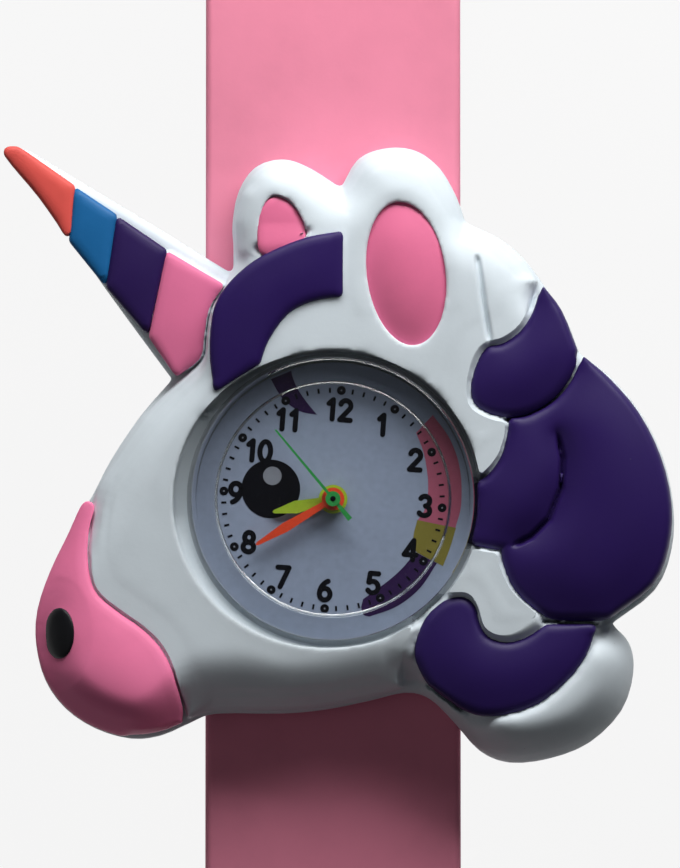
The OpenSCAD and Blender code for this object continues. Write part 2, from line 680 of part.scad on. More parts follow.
module third_wheel() {
    color("ivory") in_core() translate(third_at) {
        arbor(train_low, train_high);
        translate([0, 0, layer_z[2]]) gear(third_teeth, third_module, third_wheel_turn, pivot_r);
        translate([0, 0, layer_z[3]]) gear(third_leaves, centre_module, 0, pivot_r);
    }
}
module centre_wheel() {
    color("ivory") in_core() translate([0, 0, layer_z[3]])
        gear(centre_teeth, centre_module, centre_wheel_turn, cannon_r + shaft_clear);
}
module cannon_pinion() {
    low = layer_z[3] - layer_gap / 2;
    color("gold") in_core() {
        translate([0, 0, low]) ring(cannon_r, cannon_bore_r, minute_z + hand_t - low);
        translate([0, 0, motion_z[0]]) gear(cannon_teeth, cannon_module, 0, cannon_r - pivot_r);
    }
}
module minute_wheel() {
    color("ivory") in_core() translate(minute_at) {
        translate([0, 0, plate_z + plate_t / 2])
            cylinder(r = arbor_r, h = motion_z[1] + wheel_t - plate_z - plate_t / 2, $fn = coarse);
        translate([0, 0, motion_z[0]]) gear(minute_teeth, cannon_module, minute_wheel_turn, pivot_r);
        translate([0, 0, motion_z[1]]) gear(minute_leaves, hour_module, 0, pivot_r);
    }
}
module hour_wheel() {
    color("ivory") in_core() {
        translate([0, 0, motion_z[1]]) gear(hour_teeth, hour_module, hour_wheel_turn, hour_bore_r);
        translate([0, 0, motion_z[1]]) ring(hour_tube_r, hour_bore_r, hour_z + hand_t - motion_z[1]);
    }
}
pivot_places = [rotor_at, intermediate_at, third_at];
module main_plate() {
    color("goldenrod") in_core() difference() {
        union() {
            translate([0, 0, plate_z]) cylinder(r = plate_d / 2, h = plate_t, $fn = fine);
            for (p = pillar_places) translate([p[0], p[1], bridge_z + bridge_t])
                cylinder(r = pillar_r, h = plate_z - bridge_z - bridge_t + plate_t / 2, $fn = coarse);
        }
        for (p = concat(pivot_places, [minute_at])) translate([p[0], p[1], plate_z - overrun])
            cylinder(r = (p == minute_at ? arbor_r : pivot_r) + shaft_clear, h = 2 * overrun + plate_t,
                     $fn = coarse);
        translate([0, 0, plate_z - overrun])
            cylinder(r = centre_hole_r, h = 2 * overrun + plate_t, $fn = coarse);
        for (p = dial_foot_places) translate([p[0], p[1], plate_z - overrun])
            cylinder(r = dial_foot_r + shaft_clear, h = 2 * overrun + plate_t, $fn = coarse);
        for (p = pillar_places) translate([p[0], p[1], bridge_z])
            cylinder(r = screw_r + press_clear, h = plate_z - bridge_z, $fn = coarse);
    }
}
module train_bridge() {
    color("silver") in_core() difference() {
        translate([0, 0, bridge_z]) linear_extrude(bridge_t) hull()
            for (p = concat(pivot_places, pillar_places)) translate(p) circle(r = bridge_rim, $fn = coarse);
        for (p = pivot_places) translate([p[0], p[1], bridge_z - overrun])
            cylinder(r = pivot_r + shaft_clear, h = 2 * overrun + bridge_t, $fn = coarse);
        translate([0, 0, bridge_z - overrun])
            cylinder(r = second_shaft_r + shaft_clear, h = 2 * overrun + bridge_t, $fn = coarse);
        for (p = pillar_places) translate([p[0], p[1], bridge_z - overrun])
            cylinder(r = screw_r + press_clear, h = 2 * overrun + bridge_t, $fn = coarse);
    }
}
module bridge_screws() {
    color("gray") in_core() for (p = pillar_places) translate([p[0], p[1], bridge_z - screw_head_t]) {
        cylinder(r = screw_head_r, h = screw_head_t, $fn = coarse);
        cylinder(r = screw_r, h = screw_head_t + 2 * bridge_t, $fn = coarse);
    }
}
stator_z = (layer_z[1] + layer_z[2] + wheel_t - stator_t) / 2;
coil_z = stator_z - coil_core_r;
module stator() {
    low = stator_box[0];
    high = stator_box[1];
    color("slategray") in_core() translate([0, 0, stator_z]) difference() {
        union() {
            translate(low) cube([high[0] - low[0], high[1] - low[1], stator_t]);
            for (y = [low[1], high[1] - stator_lug])
                translate([coil_x - coil_core_r, y]) cube([high[0] - coil_x, stator_lug, stator_t]);
        }
        translate([rotor_at[0], rotor_at[1], -overrun])
            cylinder(r = stator_hole_r, h = stator_t + 2 * overrun, $fn = coarse);
    }
}
module coil() {
    reach = stator_box[1][1] - stator_box[0][1];
    color("peru") in_core() translate([coil_x, coil_mid_y, coil_z]) rotate([90, 0, 0]) {
        cylinder(r = coil_r, h = coil_l, center = true, $fn = coarse);
        cylinder(r = coil_core_r, h = reach, center = true, $fn = coarse);
    }
}
module circuit_board() {
    size = board_box[1] - board_box[0];
    color("darkgreen") in_core() translate([board_box[0][0], board_box[0][1], plate_z - board_t]) {
        cube([size[0], size[1], board_t]);
        translate([size[0], size[1], 0] * (1 - board_chip_share) / 2 - [0, 0, board_t])
            cube([size[0] * board_chip_share, size[1] * board_chip_share, board_t]);
    }
}
module quartz_can() {
    color("silver") in_core() translate([can_from[0], can_from[1], plate_z - can_r])
        rotate([0, 90, 0]) cylinder(r = can_r, h = can_l, $fn = coarse);
}
cell_z = plate_z - cell_t;
module button_cell() {
    rim_t = cell_t / 4;
    color("silver") in_core() translate([cell_at[0], cell_at[1], cell_z]) {
        translate([0, 0, rim_t]) cylinder(r = cell_d / 2, h = cell_t - rim_t, $fn = fine);
        cylinder(r = cell_d / 2 - rim_t, h = cell_t / 2, $fn = fine);
    }
}
module battery_clip() {
    color("gainsboro") in_core()
        translate([cell_at[0] - clip_w / 2, cell_at[1] - cell_d / 2, cell_z - clip_t])
            cube([clip_w, clip_l, clip_t]);
}
module setting_lever() {
    color("gray") in_core() translate([lever_x, 0, stem_z]) difference() {
        translate([0, -lever_l / 2, 0]) cube([lever_t, lever_l, plate_z - stem_z - layer_gap / 2]);
        translate([-overrun, 0, 0]) rotate([0, 90, 0])
            cylinder(r = groove_r + shaft_clear, h = lever_t + 2 * overrun, $fn = coarse);
    }
}
crown_x = case_r + crown_gap;
module stem() {
    color("gray") in_core() translate([0, 0, stem_z]) rotate([0, 90, 0]) difference() {
        translate([0, 0, stem_in_x])
            cylinder(r = stem_d / 2, h = crown_x + crown_l / 2 - stem_in_x, $fn = coarse);
        translate([0, 0, lever_x - shaft_clear]) ring(stem_d, groove_r, lever_t + 2 * shaft_clear);
    }
}
module crown() {
    r = crown_d / 2;
    color("silver") in_core() translate([crown_x, 0, stem_z]) rotate([0, 90, 0]) difference() {
        cylinder(r = r, h = crown_l, $fn = fine);
        translate([0, 0, -overrun])
            cylinder(r = stem_d / 2 + press_clear, h = overrun + crown_l / 2 + press_clear, $fn = coarse);
        for (i = [0:crown_ribs - 1]) rotate(360 * i / crown_ribs) translate([r, 0, -overrun])
            cylinder(r = r * crown_rib_share, h = crown_l + 2 * overrun, $fn = coarse);
    }
}
module gasket() {
    color("dimgray") in_core() translate([0, 0, back_t])
        ring(case_r - case_wall / 4, case_bore_r + case_wall / 4, gasket_t);
}
module case_back() {
    color("silver") in_core() {
        cylinder(r = back_r, h = back_t, $fn = fine);
        translate([0, 0, back_t / 2])
            ring(case_bore_r - shaft_clear, case_bore_r - back_rim_w, back_t + gasket_t);
    }
}

head_body();
horn_tip();
horn_upper();
horn_lower();
horn_base();
forelock();
left_ear_lining();
right_ear_lining();
mane_top();
mane_main();
mane_lower();
muzzle();
nostril();
band_middle();
spring_strip();
for (i = [1:links]) link(i);
for (i = [1:links]) mirror([0, 1, 0]) link(i);
core_case();
crystal();
dial();
hour_hand();
minute_hand();
second_hand();
main_plate();
train_bridge();
bridge_screws();
coil();
stator();
rotor();
intermediate_wheel();
seconds_wheel();
third_wheel();
centre_wheel();
cannon_pinion();
minute_wheel();
hour_wheel();
circuit_board();
quartz_can();
button_cell();
battery_clip();
setting_lever();
stem();
crown();
gasket();
case_back();
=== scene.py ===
import itertools
import math

import bpy
import bmesh
import numpy as np
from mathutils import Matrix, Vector
from mathutils.kdtree import KDTree


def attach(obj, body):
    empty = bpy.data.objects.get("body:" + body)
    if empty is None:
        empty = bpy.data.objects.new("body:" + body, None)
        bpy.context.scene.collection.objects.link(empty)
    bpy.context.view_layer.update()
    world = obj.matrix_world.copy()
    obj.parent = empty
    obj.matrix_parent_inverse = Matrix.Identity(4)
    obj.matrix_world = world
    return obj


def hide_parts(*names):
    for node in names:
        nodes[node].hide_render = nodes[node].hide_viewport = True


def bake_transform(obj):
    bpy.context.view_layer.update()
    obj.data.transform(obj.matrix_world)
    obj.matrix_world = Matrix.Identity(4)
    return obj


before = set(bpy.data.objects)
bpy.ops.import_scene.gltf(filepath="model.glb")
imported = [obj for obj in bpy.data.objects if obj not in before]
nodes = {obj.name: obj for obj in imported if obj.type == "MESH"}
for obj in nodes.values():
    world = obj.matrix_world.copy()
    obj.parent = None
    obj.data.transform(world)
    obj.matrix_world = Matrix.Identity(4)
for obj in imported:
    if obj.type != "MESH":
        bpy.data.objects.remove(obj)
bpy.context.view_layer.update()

# Lengths are in millimetres, and MM turns them into metres.
MM = 0.001
PHOTO_H = 868                         # the photograph's height in pixels
GRID = 65.2 / 670                     # millimetres to a pixel of the photograph
DIAL_PX = (333, 500)                  # the pixel over the origin, for the head
CORE_PX = (334.0, 499.5)              # the pixel over the core's axis
BAND_W, BAND_T, BAND_EDGE, BAND_END = 25.0, 2.4, 0.7, 7.0
BAND_MID, LINK, LINKS, BAND_HALF = 18.0, 88.0 / 6, 6, 106.0
STRIP_W, STRIP_T, STRIP_EDGE, STRIP_HALF = 19.0, 0.3, 0.05, 99.0
CORE_Z, CORE_TURN = 3.6, math.radians(-4.4)
DIAL_TOP, DIAL_R = 5.25, 13.05        # in the core's own frame
UPWARD, LEVEL, SIDEWAYS = 0.3, 0.5, 0.35   # z of a normal: least on a top, on a flat top, most on a wall


# ---- materials
def material(name):
    m = bpy.data.materials.new(name)
    m.use_nodes = True
    tree = m.node_tree
    return m, tree, tree.nodes["Principled BSDF"]


def link(tree, a, b):
    tree.links.new(a, b)


def coords(tree, scale):
    c = tree.nodes.new("ShaderNodeTexCoord")
    v = tree.nodes.new("ShaderNodeMapping")
    v.inputs["Scale"].default_value = scale if hasattr(scale, "__len__") else (scale,) * 3
    link(tree, c.outputs["Object"], v.inputs["Vector"])
    return v.outputs["Vector"]


def noise(tree, scale, detail=4.0, rough=0.55, vector=None):
    n = tree.nodes.new("ShaderNodeTexNoise")
    n.inputs["Scale"].default_value = scale
    n.inputs["Detail"].default_value = detail
    n.inputs["Roughness"].default_value = rough
    link(tree, coords(tree, 1.0) if vector is None else vector, n.inputs["Vector"])
    return n.outputs["Fac"]


def ramp(tree, fac, stops):
    r = tree.nodes.new("ShaderNodeValToRGB")
    first, last = r.color_ramp.elements
    first.position, first.color = stops[0][0], (*stops[0][1], 1)
    last.position, last.color = stops[-1][0], (*stops[-1][1], 1)
    for pos, col in stops[1:-1]:
        r.color_ramp.elements.new(pos).color = (*col, 1)
    link(tree, fac, r.inputs["Fac"])
    return r.outputs["Color"]


def maths(tree, operation, a, b):
    """A maths node on two sockets, or on a socket and a number."""
    n = tree.nodes.new("ShaderNodeMath")
    n.operation = operation
    link(tree, a, n.inputs[0])
    if isinstance(b, float):
        n.inputs[1].default_value = b
    else:
        link(tree, b, n.inputs[1])
    return n.outputs[0]


def surface_mix(tree, factor, a, b):
    """The material's surface: shader a, and b where the factor is 1."""
    mix = tree.nodes.new("ShaderNodeMixShader")
    link(tree, factor, mix.inputs["Fac"])
    link(tree, a, mix.inputs[1])
    link(tree, b, mix.inputs[2])
    link(tree, mix.outputs["Shader"], tree.nodes["Material Output"].inputs["Surface"])


def to_range(tree, fac, low, high, from_low=0.0, from_high=1.0):
    r = tree.nodes.new("ShaderNodeMapRange")
    r.inputs["From Min"].default_value, r.inputs["From Max"].default_value = from_low, from_high
    r.inputs["To Min"].default_value, r.inputs["To Max"].default_value = low, high
    link(tree, fac, r.inputs["Value"])
    return r.outputs["Result"]


def bump(tree, height, strength, distance):
    b = tree.nodes.new("ShaderNodeBump")
    b.inputs["Strength"].default_value = strength
    b.inputs["Distance"].default_value = distance
    link(tree, height, b.inputs["Height"])
    return b.outputs["Normal"]


def tone(c, k):
    """The colour made lighter or darker."""
    return tuple(min(1.0, x * k) for x in c)


def srgb(*rgb):
    """A linear colour from values of 0 to 255."""
    shares = [x / 255 for x in rgb]
    return tuple(x / 12.92 if x <= 0.04045 else ((x + 0.055) / 1.055) ** 2.4 for x in shares)


def silicone(name, colour, rough=0.5, grain=1.0, dust=True):
    """Moulded silicone: faint cloudy colour, fine satin grain, a little lint."""
    m, t, p = material(name)
    cloud = noise(t, 130.0, 5.0)
    base = ramp(t, cloud, [(0.3, tone(colour, 0.93)), (0.5, colour), (0.72, tone(colour, 1.04))])
    if dust:
        specks = t.nodes.new("ShaderNodeTexVoronoi")
        specks.inputs["Scale"].default_value = 420.0
        specks.inputs["Randomness"].default_value = 1.0
        link(t, coords(t, 1.0), specks.inputs["Vector"])
        near = to_range(t, specks.outputs["Distance"], 1.0, 0.0, 0.02, 0.055)
        some = to_range(t, noise(t, 60.0, 2.0), 0.0, 0.5, 0.58, 0.66)
        mix = t.nodes.new("ShaderNodeMix")
        mix.data_type = "RGBA"
        link(t, maths(t, "MULTIPLY", near, some), mix.inputs["Factor"])
        link(t, base, mix.inputs["A"])
        mix.inputs["B"].default_value = (*[0.5 * x + 0.12 for x in colour], 1)
        base = mix.outputs["Result"]
    link(t, base, p.inputs["Base Color"])
    fine = noise(t, 2600.0, 3.0)
    link(t, to_range(t, noise(t, 240.0, 4.0), rough - 0.07, rough + 0.09), p.inputs["Roughness"])
    link(t, bump(t, fine, 0.12 * grain, 0.00006), p.inputs["Normal"])
    p.inputs["Specular IOR Level"].default_value = 0.28
    p.inputs["Sheen Weight"].default_value = 0.02
    p.inputs["Sheen Roughness"].default_value = 0.5
    return m


def metal(name, colour, rough=0.3, brushed=(40.0, 900.0, 40.0), wear=0.12):
    """Brushed metal, its lines lying across the axis with the highest scale."""
    m, t, p = material(name)
    lines = noise(t, 6.0, 6.0, 0.7, coords(t, brushed))
    base = ramp(t, lines, [(0.25, tone(colour, 1 - wear)), (0.75, tone(colour, 1 + wear))])
    link(t, base, p.inputs["Base Color"])
    p.inputs["Metallic"].default_value = 1.0
    link(t, to_range(t, lines, rough - 0.08, rough + 0.1), p.inputs["Roughness"])
    link(t, bump(t, lines, 0.15, 0.00002), p.inputs["Normal"])
    return m


def plastic(name, colour, rough=0.4, scale=900.0, strength=0.1, shine=0.4):
    m, t, p = material(name)
    p.inputs["Specular IOR Level"].default_value = shine
    n = noise(t, scale, 4.0)
    link(t, ramp(t, n, [(0.3, tone(colour, 0.94)), (0.7, tone(colour, 1.05))]), p.inputs["Base Color"])
    link(t, to_range(t, noise(t, scale / 4, 3.0), rough - 0.06, rough + 0.08), p.inputs["Roughness"])
    link(t, bump(t, n, strength, 0.00003), p.inputs["Normal"])
    return m


def clear(name, colour, rough=0.03, lets=1.0):
    """Clear plastic that lets a share of the light through each of its faces."""
    m, t, p = material(name)
    scuff = noise(t, 700.0, 6.0, 0.7)
    base = ramp(t, noise(t, 90.0, 3.0), [(0.3, tone(colour, 0.985)), (0.7, colour)])
    link(t, base, p.inputs["Base Color"])
    link(t, to_range(t, scuff, rough * 0.5, rough * 1.6, 0.35, 0.75), p.inputs["Roughness"])
    p.inputs["Transmission Weight"].default_value = 1.0
    p.inputs["IOR"].default_value = 1.46
    ray = t.nodes.new("ShaderNodeLightPath").outputs
    open_ = t.nodes.new("ShaderNodeBsdfTransparent")
    open_.inputs["Color"].default_value = (lets, lets, lets, 1)
    plain = maths(t, "MAXIMUM", ray["Is Shadow Ray"], ray["Is Diffuse Ray"])
    surface_mix(t, plain, p.outputs["BSDF"], open_.outputs["BSDF"])
    return m


WHITE = silicone("white_silicone", srgb(218, 228, 234), 0.5)
BAND = silicone("band_silicone", srgb(236, 139, 165), 0.52)
PURPLE = silicone("purple_silicone", srgb(40, 18, 88), 0.46)
ORANGE = silicone("orange_silicone", srgb(228, 88, 80), 0.48)
BLUE = silicone("blue_silicone", srgb(22, 104, 164), 0.48)
HORN_PURPLE = silicone("horn_purple_silicone", srgb(40, 18, 82), 0.48)
HORN_PINK = silicone("horn_pink_silicone", srgb(232, 118, 160), 0.5)
EAR_PINK = silicone("ear_pink_silicone", srgb(234, 116, 156), 0.5)
MUZZLE = silicone("muzzle_pink_silicone", srgb(254, 132, 176), 0.48)
BLACK = silicone("black_silicone", srgb(16, 17, 22), 0.42, dust=False)
CLEAR = clear("clear_plastic", (0.97, 0.975, 0.98), 0.03, 0.9)
WALL_CLEAR = clear("crystal_wall", (0.97, 0.975, 0.98), 0.03, 0.22)
# The clear case is tinted grey: painted shade for the dim ring between the crystal and the pocket.
CASE_CLEAR = clear("case_clear_plastic_painted_shade", (0.42, 0.43, 0.45), 0.12)
# The dial's white paint is given a dim bluish grey: painted shade for the dim well under the crystal.
DIAL = plastic("dial_paint_painted_shade", srgb(160, 174, 199), 0.45, 1500.0, 0.05, 0.2)
LIME = plastic("lime_paint", srgb(170, 206, 54), 0.38, 1800.0)
RED = plastic("red_paint", srgb(246, 80, 44), 0.38, 1800.0)
GREEN = plastic("green_paint", srgb(48, 160, 76), 0.38, 1800.0)
INK = plastic("black_ink", srgb(6, 7, 16), 0.55, 2500.0, 0.04, 0.04)
PALE_INK = plastic("pale_ink", srgb(150, 156, 168), 0.5, 2500.0, 0.04, 0.1)
PURPLE_INK = plastic("purple_ink", srgb(50, 28, 76), 0.5, 2500.0, 0.04, 0.1)
PINK_INK = plastic("pink_ink", srgb(190, 102, 128), 0.5, 2500.0, 0.04, 0.1)
YELLOW_INK = plastic("yellow_ink", srgb(138, 130, 60), 0.5, 2500.0, 0.04, 0.1)
STEEL = metal("brushed_steel", (0.62, 0.63, 0.65))
SPRING = metal("spring_steel", (0.5, 0.52, 0.55), 0.26, (700.0, 20.0, 700.0))
BRASS = metal("plated_brass", (0.78, 0.6, 0.32), 0.28)
COPPER = metal("copper_winding", (0.72, 0.32, 0.14), 0.34, (60.0, 5200.0, 60.0), 0.3)
MAGNET = metal("rotor_magnet", (0.2, 0.2, 0.22), 0.45)
NYLON = plastic("white_nylon", srgb(232, 228, 214), 0.42)
BOARD = plastic("board_lacquer", srgb(20, 92, 52), 0.35, 1300.0, 0.3)
RUBBER = silicone("gasket_rubber", srgb(38, 38, 40), 0.6, dust=False)


# ---- mesh helpers
def new_object(name, verts, faces, mat, smooth=True):
    me = bpy.data.meshes.new(name)
    me.from_pydata(verts, [], faces)
    me.materials.append(mat)
    me.polygons.foreach_set("use_smooth", [smooth] * len(me.polygons))
    me.update()
    o = bpy.data.objects.new(name, me)
    bpy.context.scene.collection.objects.link(o)
    return o


def apply_modifiers(o):
    dg = bpy.context.evaluated_depsgraph_get()
    me = bpy.data.meshes.new_from_object(o.evaluated_get(dg), depsgraph=dg)
    o.modifiers.clear()
    o.data = me


def outward(o):
    """The object with its faces turned outward."""
    bm = bmesh.new()
    bm.from_mesh(o.data)
    bmesh.ops.recalc_face_normals(bm, faces=bm.faces)
    bm.to_mesh(o.data)
    bm.free()
    return o


def points_of(o):
    co = np.zeros(len(o.data.vertices) * 3)
    o.data.vertices.foreach_get("co", co)
    return co.reshape(-1, 3)


def put_points(o, co):
    o.data.vertices.foreach_set("co", co.astype(np.float32).ravel())
    o.data.update()


def normals_of(o):
    n = np.zeros(len(o.data.vertices) * 3, np.float32)
    o.data.vertices.foreach_get("normal", n)
    return n.reshape(-1, 3).astype(float)


def edge_pairs(o):
    e = np.zeros(len(o.data.edges) * 2, np.int64)
    o.data.edges.foreach_get("vertices", e)
    return e.reshape(-1, 2)


def spread_out(values, pairs, free, rounds):
    """Each free vertex's value becomes the mean of its neighbours', over and over."""
    n = len(values)
    a, b = pairs[:, 0], pairs[:, 1]
    count = np.maximum(np.bincount(a, minlength=n) + np.bincount(b, minlength=n), 1)
    for _ in range(rounds):
        mean = (np.bincount(a, values[b], n) + np.bincount(b, values[a], n)) / count
        values = np.where(free, mean, values)
    return values


def flat_tree(points):
    """A search over the points as they are seen from above."""
    tree = KDTree(len(points))
    for i, p in enumerate(points):
        tree.insert((p[0], p[1], 0), i)
    tree.balance()
    return tree


def nearest(points):
    """A function of x and y: how far the nearest of the points is from above, in millimetres."""
    tree = flat_tree(points)
    return lambda x, y: tree.find((x, y, 0))[2] / MM


def remeshed(node, name, voxel, mat):
    """A finely remeshed copy of a moulded node with its edges softened."""
    o = bpy.data.objects.new(name, nodes[node].data.copy())
    bpy.context.scene.collection.objects.link(o)
    r = o.modifiers.new("remesh", "REMESH")
    r.mode = "VOXEL"
    r.voxel_size = voxel * MM
    apply_modifiers(o)
    k = o.modifiers.new("smooth", "SMOOTH")
    k.factor, k.iterations = 0.5, 3
    apply_modifiers(o)
    o.data.materials.clear()
    o.data.materials.append(mat)
    return o


def done(o, node):
    """The finished skin of a node of the head."""
    o.data.polygons.foreach_set("use_smooth", [True] * len(o.data.polygons))
    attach(o, "head")
    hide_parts(node)
    return o


def on_head(px, py):
    """A pixel of the photograph as a point of the shared frame, in metres."""
    return (px - DIAL_PX[0]) * GRID * MM, (DIAL_PX[1] - py) * GRID * MM


def eased(v):
    """A soft step from 0 to 1."""
    v = np.clip(v, 0.0, 1.0)
    return v * v * (3 - 2 * v)


FURROW_STEPS, FURROW_REACH = 80, 3    # samples to a segment, and reach in widths


def carve(o, line_px, width, depth):
    """A soft furrow along a line on the top of a piece, shallower towards both ends.

    The mesh is made finer there first.
    """
    line = [on_head(*q) for q in line_px]
    dense = [(a[0] + (b[0] - a[0]) * k / FURROW_STEPS, a[1] + (b[1] - a[1]) * k / FURROW_STEPS)
             for a, b in zip(line, line[1:]) for k in range(FURROW_STEPS)]
    tree = flat_tree(dense)
    reach = FURROW_REACH * width * MM
    bm = bmesh.new()
    bm.from_mesh(o.data)
    bm.normal_update()
    close = {v for v in bm.verts
             if v.normal.z > UPWARD and tree.find((v.co.x, v.co.y, 0))[2] < reach}
    edges = [e for e in bm.edges if close.issuperset(e.verts)]
    bmesh.ops.subdivide_edges(bm, edges=edges, cuts=2, use_grid_fill=True)
    bm.to_mesh(o.data)
    bm.free()
    co, nrm = points_of(o), normals_of(o)
    for i in np.where(nrm[:, 2] > UPWARD)[0]:
        _, at, d = tree.find((co[i, 0], co[i, 1], 0))
        if d < reach:
            ends = eased(8 * min(at, len(dense) - 1 - at) / len(dense))
            co[i, 2] -= depth * MM * float(ends) * math.exp(-(d / MM / width) ** 2)
    put_points(o, co)


# ---- head and its coloured pads
HEAD_VOXEL, PAD_VOXEL = 0.26, 0.16
RIM_LOW, RIM_HIGH, RIM_R = 3.0, 6.4, 16.0      # where the head's outer wall is looked for
RIM_MARGIN = 0.95                              # pads and seams leave this much at the outer edge
FALL_R, MEET_R, MOUTH_R = 14.2, 14.3, 13.9     # radii about the dial, just outside the pocket
head = remeshed("head_body", "head_skin", HEAD_VOXEL, WHITE)
head_co, head_n = points_of(head), normals_of(head)
rim = nearest(head_co[(np.abs(head_n[:, 2]) < SIDEWAYS)
                      & (head_co[:, 2] > RIM_LOW * MM) & (head_co[:, 2] < RIM_HIGH * MM)
                      & (np.hypot(head_co[:, 0], head_co[:, 1]) > RIM_R * MM)])


def round_off(o, *zones):
    """The face falls away towards the head's outer edge, over a shoulder and then a slope.

    Each zone holds its slope, its reach from the edge, its shoulder, the heights where it
    starts and is whole, and, after the first zone, where it counts.
    """
    co = points_of(o)
    x, y, z = co.T / MM
    values = np.array([zones[0]]).repeat(len(co), 0)
    for *zone, where in zones[1:]:
        values += (np.array(zone) - values) * where(x, y)[:, None]
    steep, wide, bend, low, high = values.T
    some = (z > low) & (np.hypot(x, y) > FALL_R)
    t = np.zeros(len(co))
    for i in np.where(some)[0]:
        t[i] = max(0.0, wide[i] - rim(co[i, 0], co[i, 1]))
    drop = steep * np.where(t < bend, t * t / (2 * bend), t - bend / 2)
    drop *= np.clip((z - low) / (high - low), 0, 1)
    drop = spread_out(drop, edge_pairs(o), some, 8)
    co[:, 2] -= drop * MM
    put_points(o, co)


def widen(o, by, towards):
    """The pocket's mouth stands a little off the core on one side."""
    far, fade = 18.0, 3.4                 # the radius it reaches to, fading over the last part
    low, grow = 7.9, 0.5                  # the height it starts at, growing over the first part
    co = points_of(o)
    x, y, z = co.T / MM
    r = np.hypot(x, y)
    side = np.maximum(0.0, np.cos(np.arctan2(y, x) - math.radians(towards))) ** 1.5
    push = by * side * eased((far - r) / fade) * eased((z - low) / grow) * (r > MOUTH_R)
    co[:, 0] += push * x / np.maximum(r, 1) * MM
    co[:, 1] += push * y / np.maximum(r, 1) * MM
    put_points(o, co)


# Four regions of the head, each as a share from 0 to 1 at x and y.
def snout(x, y):
    return eased((x + 32.0) / 8) * eased((-8.0 - y) / 6)


def jaw(x, y):
    return eased((x + 20.0) / 7) * eased((11.0 - x) / 5) * eased((-6.0 - y) / 6)


def chin(x, y):
    return eased((x + 10.0) / 6) * eased((11.0 - x) / 5) * eased((-6.0 - y) / 6)


def lower_lock(x, y):
    return eased((x - 8.0) / 3) * eased((-11.5 - y) / 2)


def puff_lock(o, beside, step, swell):
    """The white lock below the mane steps up beside the purple ones, and swells further on."""
    low, grow, high = 3.0, 4.4, 9.0       # the heights it starts at, grows over and ends at
    inside, fade = 7.0, 2                 # how far in from the outer edge it reaches
    gap, step_over, swell_over = 0.02, 0.2, 1.3
    co = points_of(o)
    x, y, z = co.T / MM
    where = lower_lock(x, y) * np.clip((z - low) / grow, 0, 1) * (z < high)
    near = nearest(np.vstack([points_of(q) for q in beside]))
    for i in np.where(where > 0)[0]:
        d = near(co[i, 0], co[i, 1])
        where[i] *= eased((inside - rim(co[i, 0], co[i, 1])) / fade)
        up = step * eased((d - gap) / step_over) + swell * eased(d / swell_over)
        co[i, 2] += MM * where[i] * float(up)
    put_points(o, co)


def tops_of(o):
    """A search over the upward faces of a piece, and their heights."""
    co = points_of(o)[normals_of(o)[:, 2] > LEVEL]
    return flat_tree(co), co[:, 2]


def meet(o, beside, flat, face):
    """The white moulding runs on just under the pads' tops, so that seams stay tight.

    Beside the first pads, as many as flat says, it rises to the face's height. Between the
    left ear's lining and the first pad, the forelock, it is sunk.
    """
    seam, beyond = 0.2, 3.6               # reach of the seam, and of the level land past it
    crowded = 0.45                        # nearer than this to two pads is between them
    ear_seam, ear_land = 0.16, 1.3        # the sunk land's reach from the lining and the forelock
    below, sunk = 0.15, 0.45              # depths under a pad's top, and under that
    around, rim_fade, inner, inner_fade = 0.9, 0.9, 1.2, 2.4
    seam_low, land_low = 5, 5.5           # heights below which nothing is moved
    found = [tops_of(q) for q in beside]
    ear = MOULDED.index("left_ear_lining")
    co = points_of(o)
    z_new, free = co[:, 2].copy(), np.zeros(len(co), bool)
    outside = np.hypot(co[:, 0], co[:, 1]) > MEET_R * MM
    for i in np.where((co[:, 2] > seam_low * MM) & outside)[0]:
        x, y, z = co[i]
        inward = rim(x, y)
        if inward < RIM_MARGIN:
            continue
        gaps = [tree.find((x, y, 0))[2] / MM for tree, _ in found]
        k = int(np.argmin(gaps))
        d = gaps[k]
        between = sum(g < crowded for g in gaps) > 1
        if d < seam:
            tree, heights = found[k]
            top = min(heights[h[1]] for h in tree.find_range((x, y, 0), around * MM))
            level = z + (top - below * MM - z) * float(eased((inward - RIM_MARGIN) / rim_fade))
            if k == ear and gaps[0] < ear_land and d < ear_seam:
                z_new[i] = min(z, level - sunk * MM)
            elif not between:
                z_new[i] = max(z, level)
        elif d < beyond and inward > inner and z > land_low * MM and not between and k < flat:
            keep = eased((d + 0.1) / 0.4) * eased((beyond - d) / 1.6)
            keep *= eased((inward - inner) / inner_fade)
            z_new[i] = max(z, z + (face * MM - z) * float(keep))
            free[i] = True
    co[:, 2] = spread_out(z_new, edge_pairs(o), free, 5)
    put_points(o, co)


